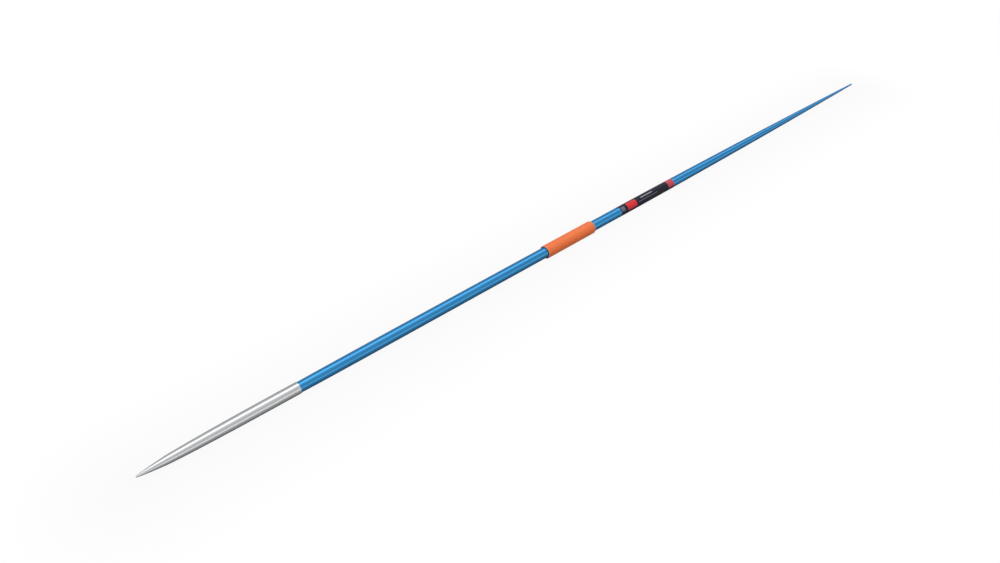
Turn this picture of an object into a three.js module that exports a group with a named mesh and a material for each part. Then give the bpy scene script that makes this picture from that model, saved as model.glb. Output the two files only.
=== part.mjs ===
// A javelin of the 700 gram class, lying level on its grip. Lengths are in millimetres.
// The axis runs along +X from the front of the head to the end of the tail, and +Z is up.
// The origin is on the ground below the middle of the whole length.
import * as THREE from 'three';

// Whole javelin. A station is a distance along the axis from the front of the head.
const LENGTH = 2300;
const SHAFT_DIAMETER = 23.9;
const TAIL_DIAMETER = 4.4;

// Clearances. A bonded fit keeps a thin glue line all round, and a seated end a short gap.
const GLUE_LINE = 0.15;
const SEAT_GAP = 0.3;
const FILM_GAP = 0.05;

// Head: a shell that begins where the point ends and swells ever slower to its full diameter. Over
// each swell length, what is missing to the full diameter shrinks by the same factor.
const HEAD_LENGTH = 295;
const HEAD_DIAMETER = 22.8;
const SWELL_LENGTH = 77;
const HEAD_WALL = 1.3;
const SOCKET_DEPTH = 60;
const SOCKET_WALL = 0.85;

// Point of the head, which swells by a power of the distance from its nose, with a shank that is
// pressed into the shell.
const POINT_LENGTH = 50;
const POINT_DIAMETER = 15.15;
const POINT_POWER = 0.72;
const NOSE_DIAMETER = 2;
const NOSE_ROUNDING = 0.8;
const POINT_SHANK_LENGTH = 24;
const POINT_SHANK_DIAMETER = 8;

// Balance weight in the head's hollow, and the flanged plug in the mouth of the front tube.
const WEIGHT_LENGTH = 16;
const PLUG_LENGTH = 40;
const PLUG_FLANGE = 2;

// Front tube, which swells from its neck in the head's socket to the full shaft.
const FRONT_WALL = 1.4;
const FRONT_TAPER = 0.7;
const NECK_LENGTH = 58;

// Rear tube, which tapers to the tail by a power of the distance, and so does its bore.
const REAR_WALL = 1.65;
const TAPER_SETBACK = 127;
const TAPER_POWER = 1.84;
const TAIL_BORE_DIAMETER = 3.2;

// Plug that closes the tail.
const TAIL_PLUG_LENGTH = 70;
const TAIL_SHANK_LENGTH = 25;
const TAIL_ROUNDING = 1.4;

// Sleeve that joins the two tubes under the grip, and the foam plugs that damp them.
const JOINT_LENGTH = 120;
const JOINT_WALL = 1.2;
const DAMPER_LENGTH = 90;

// Grip: a soft sleeve over a thin underlay, closed on the shaft by a lip that ends in a thin rim.
const GRIP_STATION = 920;
const GRIP_LENGTH = 155;
const GRIP_WALL = 1.75;
const UNDERLAY_THICKNESS = 1;
const GRIP_LIP_LENGTH = 10;
const GRIP_RIM_LENGTH = 2.4;
const GRIP_RIM_WALL = 0.7;
const GRIP_ROUNDING = 3;

// Printed film that is wrapped round the shaft behind the grip.
const LABEL_SETBACK = 94;
const LABEL_LENGTH = 203;
const LABEL_THICKNESS = 0.15;

// How finely the pieces are faceted, and how much of a wall a rounded edge takes.
const FACETS = 24;
const HEAD_STEPS = 16;
const FRONT_STEPS = 10;
const REAR_STEPS = 16;
const ROUNDING_STEPS = 4;
const edgeShare = 0.5;

// Places and radii that follow from the sizes above.
const shaftRadius = SHAFT_DIAMETER / 2;
const tailRadius = TAIL_DIAMETER / 2;
const headRadius = HEAD_DIAMETER / 2;
const pointRadius = POINT_DIAMETER / 2;
const noseRadius = NOSE_DIAMETER / 2;
const socketRadius = headRadius - SOCKET_WALL;
const neckRadius = socketRadius - GLUE_LINE;
const socketFloor = HEAD_LENGTH - SOCKET_DEPTH;
const hollowStart = POINT_LENGTH + POINT_SHANK_LENGTH;
const frontTubeStart = socketFloor + SEAT_GAP + PLUG_FLANGE + SEAT_GAP;
const gripEnd = GRIP_STATION + GRIP_LENGTH;
const joint = (GRIP_STATION + gripEnd) / 2;
const taperStart = gripEnd + TAPER_SETBACK;
const rearTubeEnd = LENGTH - TAIL_PLUG_LENGTH;
const underlayRadius = shaftRadius + GLUE_LINE + UNDERLAY_THICKNESS;
const gripRadius = underlayRadius + GLUE_LINE + GRIP_WALL;
const labelStart = gripEnd + LABEL_SETBACK;

const finishes = {
  satinSteel: new THREE.MeshStandardMaterial({ color: 0xc9cacc, roughness: 0.3, metalness: 1 }),
  brass: new THREE.MeshStandardMaterial({ color: 0xb59a55, roughness: 0.4, metalness: 1 }),
  blueAnodised: new THREE.MeshStandardMaterial({ color: 0x2a78b8, roughness: 0.3, metalness: 0.8 }),
  bareAluminium: new THREE.MeshStandardMaterial({ color: 0xb4b8bc, roughness: 0.4, metalness: 1 }),
  moulding: new THREE.MeshStandardMaterial({ color: 0x3a3d42, roughness: 0.6, metalness: 0 }),
  foam: new THREE.MeshStandardMaterial({ color: 0xd8d4c8, roughness: 1, metalness: 0 }),
  greyTape: new THREE.MeshStandardMaterial({ color: 0x5f5a66, roughness: 0.9, metalness: 0 }),
  orangeRubber: new THREE.MeshStandardMaterial({ color: 0xe87a4a, roughness: 0.7, metalness: 0 }),
  blackFilm: new THREE.MeshStandardMaterial({ color: 0x2b2d36, roughness: 0.35, metalness: 0 }),
};

function pointAt(station) {
  return THREE.MathUtils.lerp(noseRadius, pointRadius, (station / POINT_LENGTH) ** POINT_POWER);
}

// Radius of the shell at a station.
function headAt(station) {
  return THREE.MathUtils.lerp(headRadius, pointRadius, Math.exp((POINT_LENGTH - station) / SWELL_LENGTH));
}

function headHollowAt(station) {
  return headAt(station) - HEAD_WALL;
}

// Radius of the front tube: a slow taper as far as the grip, less a neck that fades behind the head.
function frontAt(station) {
  const behindHead = Math.max(0, station - HEAD_LENGTH);
  const toGripShare = Math.max(0, GRIP_STATION - station) / (GRIP_STATION - HEAD_LENGTH);
  const neckDepth = shaftRadius - FRONT_TAPER - neckRadius;
  const neck = neckDepth * Math.exp(-behindHead / NECK_LENGTH);
  return station <= HEAD_LENGTH ? neckRadius : shaftRadius - FRONT_TAPER * toGripShare - neck;
}

function frontBoreAt(station) {
  return frontAt(station) - FRONT_WALL;
}

// How much of the rear taper is complete at a station, from none at its start to all at its end.
function taperShare(station, end) {
  return Math.max(0, (station - taperStart) / (end - taperStart)) ** TAPER_POWER;
}

function rearAt(station) {
  return THREE.MathUtils.lerp(shaftRadius, tailRadius, taperShare(station, LENGTH));
}

function rearBoreAt(station) {
  const wide = shaftRadius - REAR_WALL;
  return THREE.MathUtils.lerp(wide, TAIL_BORE_DIAMETER / 2, taperShare(station, rearTubeEnd));
}

// An outline is a list of [station, radius]. This one follows a curve, with more steps near its
// start when the crowding is over one.
function along(from, to, steps, radiusAt, crowding = 1) {
  return Array.from({ length: steps + 1 }, (_, step) => {
    const station = THREE.MathUtils.lerp(from, to, (step / steps) ** crowding);
    return [station, radiusAt(station)];
  });
}

// A quarter of an ellipse that rounds the rear edge of a piece.
function roundedRear(station, radius, length, depth) {
  return Array.from({ length: ROUNDING_STEPS + 1 }, (_, step) => {
    const angle = (Math.PI / 2) * (step / ROUNDING_STEPS);
    return [station - length * (1 - Math.sin(angle)), radius - depth * (1 - Math.cos(angle))];
  });
}

// The same for the front edge, from the end face to the side.
function roundedFront(station, radius, length, depth) {
  return roundedRear(station, radius, -length, depth).reverse();
}

// A solid piece has its ends on the axis.
function solid(outside) {
  return [[outside[0][0], 0], ...outside, [outside.at(-1)[0], 0]];
}

// A hollow piece runs along its outside and back along its bore to where it began.
function hollow(outside, bore) {
  return [...outside, ...bore.toReversed(), outside[0]];
}

// Turns an outline into a mesh whose flats, not its corners, lie at the stated radii.
function turned(name, finish, outline) {
  const cornerShare = 1 / Math.cos(Math.PI / FACETS);
  const points = outline.map(([station, radius]) => new THREE.Vector2(radius * cornerShare, station));
  const geometry = new THREE.LatheGeometry(points, FACETS, Math.PI / FACETS);
  const mesh = new THREE.Mesh(geometry, finish);
  mesh.name = name;
  return mesh;
}

function headPoint() {
  const shankRadius = POINT_SHANK_DIAMETER / 2;
  const cap = roundedFront(0, pointAt(NOSE_ROUNDING), NOSE_ROUNDING, pointAt(NOSE_ROUNDING));
  const flank = along(NOSE_ROUNDING, POINT_LENGTH, HEAD_STEPS / 2, pointAt, 2);
  const shank = [
    [POINT_LENGTH, shankRadius],
    ...roundedRear(hollowStart, shankRadius, shankRadius * edgeShare, shankRadius * edgeShare),
  ];
  const outline = [[0, 0], ...cap.slice(1), ...flank.slice(1), ...shank, [hollowStart, 0]];
  return turned('head_point', finishes.satinSteel, outline);
}

function headShell() {
  const front = POINT_LENGTH + SEAT_GAP;
  const rim = SOCKET_WALL * edgeShare;
  const shankBore = POINT_SHANK_DIAMETER / 2 + GLUE_LINE;
  const outside = [
    ...along(front, HEAD_LENGTH - rim, HEAD_STEPS, headAt).slice(0, -1),
    ...roundedRear(HEAD_LENGTH, headAt(HEAD_LENGTH), rim, rim),
  ];
  const bore = [
    [front, shankBore],
    [hollowStart, shankBore],
    ...along(hollowStart, socketFloor, HEAD_STEPS, headHollowAt),
    [socketFloor, socketRadius],
    [HEAD_LENGTH, socketRadius],
  ];
  return turned('head_shell', finishes.satinSteel, hollow(outside, bore));
}

function balanceWeight() {
  const front = hollowStart + SEAT_GAP;
  const outside = along(front, front + WEIGHT_LENGTH, 2, (station) => headHollowAt(station) - GLUE_LINE);
  return turned('balance_weight', finishes.brass, solid(outside));
}

function socketPlug() {
  const front = socketFloor + SEAT_GAP;
  const stemRadius = neckRadius - FRONT_WALL - GLUE_LINE;
  const outside = [
    [front, neckRadius],
    [front + PLUG_FLANGE, neckRadius],
    [front + PLUG_FLANGE, stemRadius],
    ...roundedRear(front + PLUG_LENGTH, stemRadius, PLUG_FLANGE, PLUG_FLANGE),
  ];
  return turned('socket_plug', finishes.moulding, solid(outside));
}

function frontTube() {
  const rear = joint - SEAT_GAP / 2;
  const stations = [
    frontTubeStart,
    ...along(HEAD_LENGTH, GRIP_STATION, FRONT_STEPS, frontAt, 2).map(([station]) => station),
    rear,
  ];
  const outside = stations.map((station) => [station, frontAt(station)]);
  const bore = stations.map((station) => [station, frontBoreAt(station)]);
  return turned('front_tube', finishes.blueAnodised, hollow(outside, bore));
}

function jointSleeve() {
  const front = joint - JOINT_LENGTH / 2;
  const rear = joint + JOINT_LENGTH / 2;
  const frontRadius = frontBoreAt(joint) - GLUE_LINE;
  const rearRadius = rearBoreAt(joint) - GLUE_LINE;
  const boreRadius = Math.min(frontRadius, rearRadius) - JOINT_WALL;
  const edge = JOINT_WALL * edgeShare;
  const outside = [
    ...roundedFront(front, frontRadius, edge, edge),
    [joint, frontRadius],
    [joint, rearRadius],
    ...roundedRear(rear, rearRadius, edge, edge),
  ];
  const bore = [
    [front, boreRadius],
    [rear, boreRadius],
  ];
  return turned('joint_sleeve', finishes.bareAluminium, hollow(outside, bore));
}

function rearTube() {
  const stations = [
    joint + SEAT_GAP / 2,
    ...along(taperStart, rearTubeEnd, REAR_STEPS, rearAt).map(([station]) => station),
  ];
  const outside = stations.map((station) => [station, rearAt(station)]);
  const bore = stations.map((station) => [station, rearBoreAt(station)]);
  return turned('rear_tube', finishes.blueAnodised, hollow(outside, bore));
}

function tailPlug() {
  const shoulder = rearTubeEnd + SEAT_GAP;
  const shankRadius = TAIL_BORE_DIAMETER / 2 - GLUE_LINE;
  const outside = [
    [rearTubeEnd - TAIL_SHANK_LENGTH, shankRadius],
    [shoulder, shankRadius],
    ...along(shoulder, LENGTH - TAIL_ROUNDING, 2, rearAt).slice(0, -1),
    ...roundedRear(LENGTH, rearAt(LENGTH - TAIL_ROUNDING), TAIL_ROUNDING, tailRadius * edgeShare),
  ];
  return turned('tail_plug', finishes.blueAnodised, solid(outside));
}

// A foam plug bonded in a bore, centred on a station.
function damper(name, centre, boreAt) {
  const from = centre - DAMPER_LENGTH / 2;
  const to = centre + DAMPER_LENGTH / 2;
  return turned(name, finishes.foam, solid(along(from, to, 2, (station) => boreAt(station) - GLUE_LINE)));
}

function gripUnderlay() {
  const rear = gripEnd - GRIP_LIP_LENGTH - SEAT_GAP;
  const inside = shaftRadius + GLUE_LINE;
  const outside = [
    [GRIP_STATION, underlayRadius],
    [rear, underlayRadius],
  ];
  const bore = [
    [GRIP_STATION, inside],
    [rear, inside],
  ];
  return turned('grip_underlay', finishes.greyTape, hollow(outside, bore));
}

function gripSleeve() {
  const lip = gripEnd - GRIP_LIP_LENGTH;
  const lipRadius = shaftRadius + GLUE_LINE;
  const rimRadius = lipRadius + GRIP_RIM_WALL;
  const edge = GRIP_WALL * edgeShare / 2;
  const outside = [
    ...roundedFront(GRIP_STATION, gripRadius, edge, edge),
    ...roundedRear(gripEnd - GRIP_RIM_LENGTH, gripRadius, GRIP_ROUNDING, gripRadius - rimRadius),
    [gripEnd, rimRadius],
  ];
  const bore = [
    [GRIP_STATION, underlayRadius + GLUE_LINE],
    [lip, underlayRadius + GLUE_LINE],
    [lip, lipRadius],
    [gripEnd, lipRadius],
  ];
  return turned('grip_sleeve', finishes.orangeRubber, hollow(outside, bore));
}

function labelFilm() {
  const innerAt = (station) => rearAt(station) + FILM_GAP;
  const outerAt = (station) => innerAt(station) + LABEL_THICKNESS;
  const rear = labelStart + LABEL_LENGTH;
  const outside = along(labelStart, rear, REAR_STEPS / 4, outerAt);
  const bore = along(labelStart, rear, REAR_STEPS / 4, innerAt);
  return turned('label_film', finishes.blackFilm, hollow(outside, bore));
}

const javelin = new THREE.Group();
javelin.add(
  headPoint(),
  headShell(),
  balanceWeight(),
  socketPlug(),
  frontTube(),
  damper('front_damper', (HEAD_LENGTH + GRIP_STATION) / 2, frontBoreAt),
  jointSleeve(),
  rearTube(),
  damper('rear_damper', (taperStart + rearTubeEnd) / 2, rearBoreAt),
  tailPlug(),
  gripUnderlay(),
  gripSleeve(),
  labelFilm(),
);

// The outlines are turned about +Y. This lays the axis along +X and stands the grip on the ground.
javelin.rotation.z = -Math.PI / 2;
javelin.position.set(-LENGTH / 2, 0, gripRadius);

export default javelin;
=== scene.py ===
import math

import bmesh
import bpy
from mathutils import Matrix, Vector


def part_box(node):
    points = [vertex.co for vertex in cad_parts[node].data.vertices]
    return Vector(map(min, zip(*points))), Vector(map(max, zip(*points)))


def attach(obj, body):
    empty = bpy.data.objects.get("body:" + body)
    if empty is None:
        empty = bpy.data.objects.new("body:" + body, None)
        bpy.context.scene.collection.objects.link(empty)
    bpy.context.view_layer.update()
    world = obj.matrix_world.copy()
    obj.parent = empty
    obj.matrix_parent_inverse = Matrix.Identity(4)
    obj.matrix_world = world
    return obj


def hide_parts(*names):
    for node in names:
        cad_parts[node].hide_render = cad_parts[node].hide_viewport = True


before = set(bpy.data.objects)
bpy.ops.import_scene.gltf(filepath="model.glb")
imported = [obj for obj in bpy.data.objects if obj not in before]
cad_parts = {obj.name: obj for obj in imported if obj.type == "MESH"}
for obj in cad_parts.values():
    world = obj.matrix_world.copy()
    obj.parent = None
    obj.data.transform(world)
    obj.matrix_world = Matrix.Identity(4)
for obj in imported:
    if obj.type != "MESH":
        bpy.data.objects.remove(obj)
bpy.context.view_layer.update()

# Lengths are in metres, in the frame of the CAD part. The axis runs along +X, and +Z is up.
# A station is a distance along the axis from the front of the head.
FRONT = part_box("head_point")[0].x
AXIS_HEIGHT = (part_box("grip_sleeve")[0].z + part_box("grip_sleeve")[1].z) / 2


def measured(node):
    """First station, last station and greatest radius of a CAD node."""
    low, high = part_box(node)
    return low.x - FRONT, high.x - FRONT, (high.z - low.z) / 2


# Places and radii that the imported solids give.
_, shank_end, _ = measured("head_point")
seam, head_end, _ = measured("head_shell")
_, _, neck_radius = measured("socket_plug")
tube_front, front_tube_end, _ = measured("front_tube")
rear_tube_front, rear_tube_end, shaft_radius = measured("rear_tube")
tail_shank, tail_end, _ = measured("tail_plug")
grip_front, underlay_end, underlay_radius = measured("grip_underlay")
_, grip_end, grip_radius = measured("grip_sleeve")
label_front, label_end, label_radius = measured("label_film")

# Shape of the head, the tubes and the tail.
HEAD_RADIUS = 0.0114
SWELL_LENGTH = 0.077
POINT_LENGTH = 0.05
POINT_RADIUS = 0.007575
POINT_POWER = 0.72
NOSE_RADIUS = 0.001
NOSE_ROUNDING = 0.0008
FRONT_TAPER = 0.0007
NECK_LENGTH = 0.058
TAPER_SETBACK = 0.127
TAPER_POWER = 1.84
TAIL_RADIUS = 0.0022
TAIL_ROUNDING = 0.0014

# Walls, bores and small edges.
HAIRLINE = 0.00005
GLUE_LINE = 0.00015
HEAD_WALL = 0.0013
SOCKET_DEPTH = 0.06
HEAD_RIM = 0.0004
SHANK_RADIUS = 0.004
SHANK_ROUNDING = 0.002
FRONT_WALL = 0.0014
REAR_WALL = 0.00165
TAIL_BORE_RADIUS = 0.0016
GRIP_LIP_LENGTH = 0.01
GRIP_RIM_LENGTH = 0.0024
GRIP_RIM_WALL = 0.0007
GRIP_ROUNDING = 0.003
GRIP_EDGE = 0.0004
LABEL_THICKNESS = 0.00015
LABEL_EDGE = 0.00005

# How finely the skins are turned.
SEGMENTS = 128
CURVE_STEPS = 64
BORE_STEPS = 24
ROUNDING_STEPS = 10
SHARP_ANGLE = math.radians(25)

taper_start = grip_end + TAPER_SETBACK
socket_radius = neck_radius + GLUE_LINE
socket_floor = head_end - SOCKET_DEPTH


def lerp(start, end, share):
    return start + (end - start) * share


def point_at(station):
    """Radius of the head's point."""
    return lerp(NOSE_RADIUS, POINT_RADIUS, (station / POINT_LENGTH) ** POINT_POWER)


def head_at(station):
    """Radius of the head's shell, which swells ever slower behind the point."""
    return lerp(HEAD_RADIUS, POINT_RADIUS, math.exp((POINT_LENGTH - station) / SWELL_LENGTH))


def head_hollow_at(station):
    return head_at(station) - HEAD_WALL


def front_at(station):
    """Radius of the front tube: a slow taper as far as the grip, less a neck that fades behind the head."""
    if station <= head_end:
        return neck_radius
    to_grip = max(0, grip_front - station) / (grip_front - head_end)
    neck_depth = shaft_radius - FRONT_TAPER - neck_radius
    return shaft_radius - FRONT_TAPER * to_grip - neck_depth * math.exp((head_end - station) / NECK_LENGTH)


def front_bore_at(station):
    return front_at(station) - FRONT_WALL


def taper_share(station, end):
    """How far the rear tube has tapered, from 0 to 1 at the end."""
    return max(0, (station - taper_start) / (end - taper_start)) ** TAPER_POWER


def rear_at(station):
    """Radius of the rear tube and of the tail behind it."""
    return lerp(shaft_radius, TAIL_RADIUS, taper_share(station, tail_end))


def rear_bore_at(station):
    return lerp(shaft_radius - REAR_WALL, TAIL_BORE_RADIUS, taper_share(station, rear_tube_end))


def along(start, end, steps, radius_at, crowding=1):
    """Points that follow a curve, closer together near the start when the crowding is over one."""
    stations = [lerp(start, end, (step / steps) ** crowding) for step in range(steps + 1)]
    return [(station, radius_at(station)) for station in stations]


def rounded_rear(station, radius, length, depth):
    """A quarter of an ellipse that rounds a rear edge."""
    angles = [math.pi / 2 * step / ROUNDING_STEPS for step in range(ROUNDING_STEPS + 1)]
    return [(station - length * (1 - math.sin(a)), radius - depth * (1 - math.cos(a))) for a in angles]


def rounded_front(station, radius, length, depth):
    """The same for a front edge."""
    return rounded_rear(station, radius, -length, depth)[::-1]


def hollow(outside, bore):
    """A closed outline: back along the bore to where the outside began."""
    return outside + bore[::-1] + outside[:1]


def turned(name, outline):
    """A closed mesh, turned about the javelin's axis. Its outline ends on the axis or closes on itself."""
    work = bmesh.new()
    closed = outline[0] == outline[-1]
    rings = []
    for station, radius in outline[:-1] if closed else outline:
        x = FRONT + station
        if radius == 0:
            rings.append([work.verts.new((x, 0, AXIS_HEIGHT))] * SEGMENTS)
            continue
        turns = [2 * math.pi * k / SEGMENTS for k in range(SEGMENTS)]
        places = [(x, radius * math.cos(turn), AXIS_HEIGHT + radius * math.sin(turn)) for turn in turns]
        rings.append([work.verts.new(place) for place in places])
    if closed:
        rings.append(rings[0])
    for near, far in zip(rings, rings[1:]):
        for k in range(SEGMENTS):
            corners = (near[k], near[k - 1], far[k - 1], far[k])
            # On the axis two corners fall together, and the face is a triangle.
            work.faces.new(list(dict.fromkeys(corners)))
    bmesh.ops.recalc_face_normals(work, faces=work.faces)
    mesh = bpy.data.meshes.new(name)
    work.to_mesh(mesh)
    work.free()
    mesh.shade_smooth()
    mesh.set_sharp_from_angle(angle=SHARP_ANGLE)
    piece = bpy.data.objects.new(name, mesh)
    bpy.context.scene.collection.objects.link(piece)
    return piece


def head_point():
    shoulder = seam - HAIRLINE
    nose_radius = point_at(NOSE_ROUNDING)
    outline = [(0, 0)] + rounded_front(0, nose_radius, NOSE_ROUNDING, nose_radius)[1:]
    outline += along(NOSE_ROUNDING, shoulder, CURVE_STEPS, point_at, crowding=2)[1:]
    outline += [(shoulder, SHANK_RADIUS)]
    outline += rounded_rear(shank_end, SHANK_RADIUS, SHANK_ROUNDING, SHANK_ROUNDING)
    return turned("point_skin", outline + [(shank_end, 0)])


def head_shell():
    shank_bore = SHANK_RADIUS + GLUE_LINE
    outside = along(seam, head_end - HEAD_RIM, CURVE_STEPS, head_at)[:-1]
    outside += rounded_rear(head_end, head_at(head_end), HEAD_RIM, HEAD_RIM)
    bore = [(seam, shank_bore), (shank_end, shank_bore)]
    bore += along(shank_end, socket_floor, BORE_STEPS, head_hollow_at)
    bore += [(socket_floor, socket_radius), (head_end, socket_radius)]
    return turned("head_skin", hollow(outside, bore))


def front_tube():
    behind_head = along(head_end, grip_front, CURVE_STEPS, front_at, crowding=2)
    stations = [tube_front] + [station for station, _ in behind_head] + [front_tube_end]
    outside = [(station, front_at(station)) for station in stations]
    bore = [(station, front_bore_at(station)) for station in stations]
    return turned("front_shaft", hollow(outside, bore))


def rear_tube():
    tapering = along(taper_start, rear_tube_end, CURVE_STEPS, rear_at)
    stations = [rear_tube_front] + [station for station, _ in tapering]
    outside = [(station, rear_at(station)) for station in stations]
    bore = [(station, rear_bore_at(station)) for station in stations]
    return turned("rear_shaft", hollow(outside, bore))


def tail_plug():
    shoulder = rear_tube_end + HAIRLINE
    shank_radius = TAIL_BORE_RADIUS - GLUE_LINE
    rounding = tail_end - TAIL_ROUNDING
    outline = [(tail_shank, 0), (tail_shank, shank_radius), (shoulder, shank_radius)]
    outline += along(shoulder, rounding, ROUNDING_STEPS, rear_at)[:-1]
    outline += rounded_rear(tail_end, rear_at(rounding), TAIL_ROUNDING, TAIL_RADIUS / 2)
    return turned("tail_tip", outline + [(tail_end, 0)])


def grip_underlay():
    inside = shaft_radius + GLUE_LINE
    outside = [(grip_front, underlay_radius), (underlay_end, underlay_radius)]
    return turned("grip_lining", hollow(outside, [(grip_front, inside), (underlay_end, inside)]))


def grip_sleeve():
    lip = grip_end - GRIP_LIP_LENGTH
    lip_radius = shaft_radius + GLUE_LINE
    bore_radius = underlay_radius + GLUE_LINE
    rim_radius = lip_radius + GRIP_RIM_WALL
    outside = rounded_front(grip_front, grip_radius, GRIP_EDGE, GRIP_EDGE)
    outside += rounded_rear(grip_end - GRIP_RIM_LENGTH, grip_radius, GRIP_ROUNDING, grip_radius - rim_radius)
    outside += [(grip_end, rim_radius)]
    bore = [(grip_front, bore_radius), (lip, bore_radius), (lip, lip_radius), (grip_end, lip_radius)]
    return turned("grip_cover", hollow(outside, bore))


def label_film():
    """The film follows the rear tube, which begins to taper under it."""
    slack = label_radius - shaft_radius
    tube = along(label_front, label_end, BORE_STEPS, rear_at)
    outer = [(station, radius + slack) for station, radius in tube]
    inner = [(station, radius + slack - LABEL_THICKNESS) for station, radius in tube]
    outside = rounded_front(label_front, label_radius, LABEL_EDGE, LABEL_EDGE) + outer[1:-1]
    outside += rounded_rear(label_end, outer[-1][1], LABEL_EDGE, LABEL_EDGE)
    return turned("label_wrap", hollow(outside, inner))


def dress(piece, node, material):
    """The piece stands for its CAD node, which it hides, takes the given finish, and moves with the one
    body.
    """
    piece.data.materials.append(material)
    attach(piece, "root")
    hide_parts(node)


def linear(red, green, blue):
    """A colour that is given as it shows on a screen, from 0 to 255."""
    shares = [value / 255 for value in (red, green, blue)]
    return tuple(s / 12.92 if s <= 0.04045 else ((s + 0.055) / 1.055) ** 2.4 for s in shares) + (1.0,)


# Colours as they show on a screen in plain light. Where a finish has three, the first two mix by
# cloudiness, and the third comes in by fine lines or grain.
SILVERS = linear(206, 208, 210), linear(210, 212, 214), linear(212, 214, 216)
BLUES = linear(4, 130, 193), linear(12, 138, 201), linear(12, 142, 205)
ORANGES = linear(240, 107, 36), linear(243, 113, 40), linear(245, 117, 44)
# Painted highlight: the pale colour on the grip's front end and rounded front edge.
GRIP_FRONT_HIGHLIGHT = linear(214, 172, 156)
GRIP_BAND = linear(150, 138, 140)
TAPE_GREYS = linear(88, 82, 94), linear(112, 106, 116)
FILM_BLACKS = linear(23, 27, 40), linear(28, 32, 46)
FILM_RED = linear(218, 50, 58)
FILM_DARK_RED = linear(200, 74, 86)
FILM_GREY = linear(108, 104, 122)
FILM_LINE = linear(150, 153, 164)
BRASSES = linear(196, 166, 92), linear(214, 186, 116)
PLASTICS = linear(54, 57, 62), linear(64, 67, 72)
FOAMS = linear(228, 224, 212), linear(204, 198, 184)
ALUMINIUMS = linear(196, 200, 204), linear(210, 213, 216)

# What the metals reflect where they turn away.
SILVER_EDGE = (0.12, 0.12, 0.13, 1)
BLUE_EDGE = (0.1, 0.35, 0.5, 1)

# Sizes and depths of the surfaces' relief.
THREAD_WIDTH = 0.0004
FOAM_CELL = 0.0012
POLISH_DEPTH = 0.0000005
RUBBER_WAVE_DEPTH = 0.00007
RUBBER_GRAIN_DEPTH = 0.00001
WEAVE_DEPTH = 0.00008
FILM_WAVE_DEPTH = 0.00001
FOAM_CELL_DEPTH = 0.0003

# The noise of fine lines and grain, and the part of its range that is drawn out.
FINE_DETAIL = 3.0
FINE_SPAN = (0.35, 0.65)

# The grey at the rear end of the grip.
GRIP_BAND_LENGTH = 0.0075
GRIP_BLEND_LENGTH = 0.0035

# Print on the label: each patch is its span along the label, how far round the shaft its middle and
# its edges lie, the radius of its corners and its colour. The thin ones are plain lines.
LABEL_PATCHES = (
    (0.002, 0.0145, 0.0, 0.0061, 0.0012, FILM_GREY),
    (0.0235, 0.0575, 0.0002, 0.0101, 0.0026, FILM_RED),
    (0.076, 0.12, 0.0042, 0.0013, 0.0013, FILM_LINE),
    (0.064, 0.136, -0.003, 0.0003, 0.0003, FILM_LINE),
    (0.1795, label_end - label_front, 0.0055, 0.0153, 0.0, FILM_DARK_RED),
)
LABEL_FACING = math.radians(51)


class Nodes:
    """Makes nodes by short calls. Inputs are numbers, colours or other nodes' outputs."""

    def __init__(self, tree):
        self.tree = tree

    def add(self, kind, inputs=(), **settings):
        node = self.tree.nodes.new(kind)
        for name, value in settings.items():
            setattr(node, name, value)
        for key, value in dict(inputs).items():
            if isinstance(value, bpy.types.NodeSocket):
                self.tree.links.new(value, node.inputs[key])
            else:
                node.inputs[key].default_value = value
        return node

    def math(self, operation, *values):
        return self.add("ShaderNodeMath", dict(enumerate(values)), operation=operation).outputs[0]

    def vector(self, operation, *values):
        return self.add("ShaderNodeVectorMath", dict(enumerate(values)), operation=operation).outputs[0]

    def length(self, value):
        return self.add("ShaderNodeVectorMath", {0: value}, operation="LENGTH").outputs["Value"]

    def parts(self, value):
        return self.add("ShaderNodeSeparateXYZ", {0: value}).outputs

    def ranged(self, value, low, high, start=0.0, end=1.0):
        """The value from start to end, drawn out or pressed to run from low to high."""
        return self.add("ShaderNodeMapRange", {0: value, 1: start, 2: end, 3: low, 4: high}).outputs[0]


class Finish(Nodes):
    """A material of one shader, with places measured along and about the javelin's axis."""

    def __init__(self, name, **shader_values):
        self.material = bpy.data.materials.new(name)
        self.material.use_nodes = True
        super().__init__(self.material.node_tree)
        self.shader = self.tree.nodes["Principled BSDF"]
        for socket, value in shader_values.items():
            self.shader.inputs[socket.replace("_", " ")].default_value = value
        place = self.add("ShaderNodeTexCoord").outputs["Object"]
        self.place = self.vector("SUBTRACT", place, (FRONT, 0, AXIS_HEIGHT))
        self.station = self.parts(self.place)[0]

    def stretched(self, length, width):
        """The place with its parts along and across the axis divided by a size each."""
        return self.vector("MULTIPLY", self.place, (1 / length, 1 / width, 1 / width))

    def noise(self, length, width, detail=2.0):
        """Noise from 0 to 1 whose grains have about this length and width."""
        inputs = {"Vector": self.stretched(length, width), "Scale": 1.0, "Detail": detail}
        return self.add("ShaderNodeTexNoise", inputs).outputs[0]

    def fine(self, length, width):
        """The same with stronger contrast, for fine lines and grain."""
        return self.ranged(self.noise(length, width, FINE_DETAIL), 0.0, 1.0, *FINE_SPAN)

    def mix(self, share, first, second):
        return self.add("ShaderNodeMix", {0: share, 6: first, 7: second}, data_type="RGBA").outputs[2]

    def shades(self, cloud, fine, colours):
        """Three close colours: two by cloudiness and the third by fine lines or grain."""
        return self.mix(fine, self.mix(cloud, colours[0], colours[1]), colours[2])

    def link(self, socket, value):
        self.tree.links.new(value, self.shader.inputs[socket])

    def bumps(self, *layers):
        """Stacks height maps, each with the height in metres that it stands for."""
        normal = None
        for height, depth in layers:
            inputs = {"Height": height, "Distance": depth, "Strength": 1.0}
            if normal:
                inputs["Normal"] = normal
            normal = self.add("ShaderNodeBump", inputs).outputs[0]
        self.link("Normal", normal)


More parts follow.
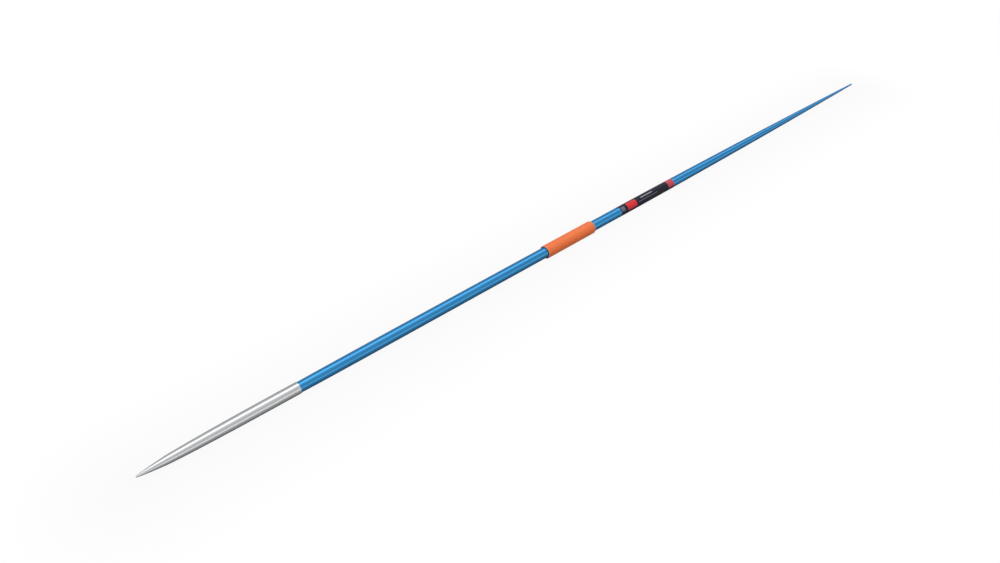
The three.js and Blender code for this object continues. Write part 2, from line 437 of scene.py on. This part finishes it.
def silver(name):
    """Satin metal that was turned on a lathe: fine rings round the axis, with faint cloudiness."""
    finish = Finish(name, Metallic=1.0, Specular_Tint=SILVER_EDGE)
    cloud = finish.noise(length=0.03, width=0.012)
    rings = finish.fine(length=0.00025, width=0.05)
    finish.link("Base Color", finish.shades(cloud, rings, SILVERS))
    finish.link("Roughness", finish.ranged(rings, low=0.2, high=0.3))
    finish.bumps((rings, POLISH_DEPTH))
    return finish.material


def blue_anodised():
    """Blue anodised tube, with the faint lines of its drawing along the axis, under a clear gloss."""
    gloss = {"Coat_Weight": 0.14, "Coat_IOR": 4.0, "Coat_Roughness": 0.1}
    finish = Finish("blue_anodised", Metallic=0.85, Specular_Tint=BLUE_EDGE, **gloss)
    cloud = finish.noise(length=0.08, width=0.02)
    lines = finish.fine(length=0.12, width=0.0005)
    finish.link("Base Color", finish.shades(cloud, lines, BLUES))
    finish.link("Roughness", finish.ranged(lines, low=0.15, high=0.23))
    finish.bumps((lines, POLISH_DEPTH))
    return finish.material


def orange_rubber():
    """Matt rubber with a fine grain, with a painted highlight in a pale colour on its front end and rounded
    front edge, and grey at its rear end.
    """
    finish = Finish("orange_rubber", Specular_IOR_Level=0.7)
    cloud = finish.noise(length=0.014, width=0.007, detail=FINE_DETAIL)
    grain = finish.fine(length=0.0005, width=0.0005)
    shade = finish.shades(cloud, grain, ORANGES)
    # Painted highlight: the front end face and its rounded edge are painted pale.
    front_highlight = finish.math("LESS_THAN", finish.station, grip_front + GRIP_EDGE)
    band_start = grip_end - GRIP_BAND_LENGTH
    band = finish.ranged(finish.station, 0.0, 1.0, start=band_start, end=band_start + GRIP_BLEND_LENGTH)
    finish.link("Base Color", finish.mix(band, finish.mix(front_highlight, shade, GRIP_FRONT_HIGHLIGHT), GRIP_BAND))
    finish.link("Roughness", finish.ranged(grain, low=0.45, high=0.6))
    finish.bumps((cloud, RUBBER_WAVE_DEPTH), (grain, RUBBER_GRAIN_DEPTH))
    return finish.material


def grey_tape():
    """Woven tape: two crossing sets of threads."""
    finish = Finish("grey_tape", Roughness=0.9)
    across = finish.noise(length=0.002, width=THREAD_WIDTH)
    weave = finish.math("SINE", finish.math("MULTIPLY", finish.station, 2 * math.pi / THREAD_WIDTH))
    finish.link("Base Color", finish.mix(across, *TAPE_GREYS))
    finish.bumps((finish.math("MULTIPLY", weave, across), WEAVE_DEPTH))
    return finish.material


def printed_film():
    """Semi-gloss film with plain blocks of colour on black."""
    finish = Finish("printed_film", Specular_IOR_Level=0.15)
    _, across, up = finish.parts(finish.place)
    turn = finish.math("ARCTAN2", up, finish.math("MULTIPLY", across, -1.0))
    arc = finish.math("MULTIPLY", finish.math("SUBTRACT", turn, LABEL_FACING), label_radius)
    along_label = finish.math("SUBTRACT", finish.station, label_front)
    spot = finish.add("ShaderNodeCombineXYZ", {0: along_label, 1: arc}).outputs[0]
    colour = finish.mix(finish.noise(length=0.02, width=0.01), *FILM_BLACKS)
    for start, end, rise, half_height, corner, paint in LABEL_PATCHES:
        middle = ((start + end) / 2, rise, 0)
        half = ((end - start) / 2 - corner, half_height - corner, 1)
        offset = finish.vector("ABSOLUTE", finish.vector("SUBTRACT", spot, middle))
        outside = finish.vector("MAXIMUM", finish.vector("SUBTRACT", offset, half), (0, 0, 0))
        inside = finish.math("LESS_THAN", finish.length(outside), corner + HAIRLINE)
        colour = finish.mix(inside, colour, paint)
    finish.link("Base Color", colour)
    finish.link("Roughness", finish.ranged(finish.fine(length=0.004, width=0.001), low=0.36, high=0.44))
    finish.bumps((finish.noise(length=0.004, width=0.004), FILM_WAVE_DEPTH))
    return finish.material


def closed_cell_foam():
    finish = Finish("closed_cell_foam", Roughness=0.95)
    inputs = {"Vector": finish.stretched(FOAM_CELL, FOAM_CELL), "Scale": 1.0}
    cells = finish.add("ShaderNodeTexVoronoi", inputs).outputs[0]
    finish.link("Base Color", finish.mix(cells, *FOAMS))
    finish.bumps((finish.math("MULTIPLY", cells, -1.0), FOAM_CELL_DEPTH))
    return finish.material


def grained(name, grain_size, colours, roughness, depth, **shader_values):
    """Two close colours in one grain, which is also the gloss and the relief."""
    finish = Finish(name, **shader_values)
    grain = finish.noise(*grain_size, detail=FINE_DETAIL)
    finish.link("Base Color", finish.mix(grain, *colours))
    finish.link("Roughness", finish.ranged(grain, *roughness))
    finish.bumps((grain, depth))
    return finish.material


# The camera's place and direction follow a pinhole fit to the photographed javelin.
CAMERA_PLACE = (-1.2989, -1.0005, 1.0104)
CAMERA_AZIMUTH = math.radians(46.985)
CAMERA_DIP = math.radians(36.35)
FOCAL_PIXELS = 800.7
IMAGE_WIDTH_PIXELS = 1000
SENSOR_WIDTH = 36
NEAREST_SEEN = 0.01

FLOOR_REACH = 9
FLOOR_PALE = 0.28

# How much of the floor's look is plain white near the javelin, where its shadow lies, for the camera
# and for reflections. It is all white from the end of the shadow on.
CAMERA_WHITE_SHARE = 0.94
MIRROR_WHITE_SHARE = 0.0
SHADOW_REACH = 0.2

# The room is white overhead and grey along its walls.
WALL_LIGHT = 0.6
CEILING_LIGHT = 1.0
RISE_POWER = 5.0

# Each lamp's name, the place of its middle, its length and width, and its radiance. The one overhead
# and the narrow strip in it draw the upper bright line along the shaft, and the low one the second line.
LAMPS = (
    ("overhead", (0.8, 0.19, 1.2), (7, 0.85), 0.5),
    ("strip", (0.8, 0.19, 1.19), (7, 0.3), 0.9),
    ("low", (0.8, -1.5, 0.26), (7, 0.45), 0.6),
)


def camera():
    view = bpy.data.cameras.new("camera")
    view.sensor_width = SENSOR_WIDTH
    view.lens = SENSOR_WIDTH * FOCAL_PIXELS / IMAGE_WIDTH_PIXELS
    view.clip_start = NEAREST_SEEN
    thing = bpy.data.objects.new("camera", view)
    thing.location = CAMERA_PLACE
    thing.rotation_euler = (math.pi / 2 - CAMERA_DIP, 0, CAMERA_AZIMUTH - math.pi / 2)
    bpy.context.scene.collection.objects.link(thing)
    bpy.context.scene.camera = thing


def floor():
    """A plain pale floor that keeps a soft shadow, and is white farther away from the javelin."""
    mesh = bpy.data.meshes.new("floor")
    corners = [(-FLOOR_REACH, -FLOOR_REACH, 0), (FLOOR_REACH, -FLOOR_REACH, 0)]
    corners += [(FLOOR_REACH, FLOOR_REACH, 0), (-FLOOR_REACH, FLOOR_REACH, 0)]
    mesh.from_pydata(corners, [], [(0, 1, 2, 3)])
    thing = bpy.data.objects.new("floor", mesh)
    bpy.context.scene.collection.objects.link(thing)
    material = bpy.data.materials.new("floor_white")
    material.use_nodes = True
    material.node_tree.nodes.clear()
    nodes = Nodes(material.node_tree)
    rays = nodes.add("ShaderNodeLightPath").outputs
    mirrored = nodes.math("MAXIMUM", rays["Is Glossy Ray"], rays["Is Transmission Ray"])
    seen = nodes.math("MAXIMUM", mirrored, rays["Is Camera Ray"])
    nearest = nodes.ranged(mirrored, CAMERA_WHITE_SHARE, MIRROR_WHITE_SHARE)
    place = nodes.add("ShaderNodeTexCoord").outputs["Object"]
    beyond_ends = nodes.vector("SUBTRACT", nodes.vector("ABSOLUTE", place), (tail_end / 2, 0, 0))
    distance = nodes.length(nodes.vector("MAXIMUM", beyond_ends, (0, 0, 0)))
    white = nodes.ranged(nodes.ranged(distance, 0.0, 1.0, start=0.0, end=SHADOW_REACH), nearest, 1.0)
    matt = nodes.add("ShaderNodeBsdfDiffuse", {"Color": (FLOOR_PALE, FLOOR_PALE, FLOOR_PALE, 1)})
    glow = nodes.add("ShaderNodeEmission")
    share = nodes.math("MULTIPLY", seen, white)
    blend = nodes.add("ShaderNodeMixShader", {0: share, 1: matt.outputs[0], 2: glow.outputs[0]})
    nodes.add("ShaderNodeOutputMaterial", {0: blend.outputs[0]})
    mesh.materials.append(material)


def room():
    """A room that lights softly from all round, more so the higher a direction points."""
    world = bpy.data.worlds.new("room")
    bpy.context.scene.world = world
    world.use_nodes = True
    nodes = Nodes(world.node_tree)
    rise = nodes.parts(nodes.add("ShaderNodeTexCoord").outputs["Generated"])[2]
    overhead = nodes.math("POWER", nodes.math("ABSOLUTE", rise), RISE_POWER)
    background = world.node_tree.nodes["Background"]
    background.inputs["Color"].default_value = (1, 1, 1, 1)
    strength = nodes.ranged(overhead, WALL_LIGHT, CEILING_LIGHT)
    world.node_tree.links.new(strength, background.inputs["Strength"])


def lamp(name, place, size, radiance):
    """A soft rectangular lamp that faces the javelin's axis, with its long side along it."""
    light = bpy.data.lights.new(name, "AREA")
    light.shape = "RECTANGLE"
    light.size, light.size_y = size
    light.energy = radiance * math.pi * size[0] * size[1]
    thing = bpy.data.objects.new(name, light)
    thing.location = place
    aim = Vector((place[0], 0, AXIS_HEIGHT)) - Vector(place)
    thing.rotation_euler = aim.to_track_quat("-Z", "Y").to_euler()
    thing.visible_camera = False
    bpy.context.scene.collection.objects.link(thing)


# The pieces that can be seen: new skins in place of the faceted CAD nodes.
blue = blue_anodised()
dress(head_point(), "head_point", silver("point_satin"))
dress(head_shell(), "head_shell", silver("head_satin"))
dress(front_tube(), "front_tube", blue)
dress(rear_tube(), "rear_tube", blue)
dress(tail_plug(), "tail_plug", blue)
dress(grip_underlay(), "grip_underlay", grey_tape())
dress(grip_sleeve(), "grip_sleeve", orange_rubber())
dress(label_film(), "label_film", printed_film())

# The pieces inside: the CAD nodes with finishes of their own.
brass = grained("turned_brass", (0.0003, 0.03), BRASSES, (0.28, 0.42), depth=0.00001, Metallic=1.0)
plastic = grained("moulded_plastic", (0.0003, 0.0003), PLASTICS, (0.5, 0.65), depth=0.00002)
aluminium = grained("mill_aluminium", (0.05, 0.0004), ALUMINIUMS, (0.32, 0.46), depth=0.000008, Metallic=1.0)
foam = closed_cell_foam()
inner_finishes = {
    "balance_weight": brass,
    "socket_plug": plastic,
    "front_damper": foam,
    "rear_damper": foam,
    "joint_sleeve": aluminium,
}
for node, finish in inner_finishes.items():
    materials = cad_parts[node].data.materials
    materials.clear()
    materials.append(finish)

camera()
floor()
room()
for lamp_values in LAMPS:
    lamp(*lamp_values)

bpy.context.scene.view_settings.view_transform = "Standard"
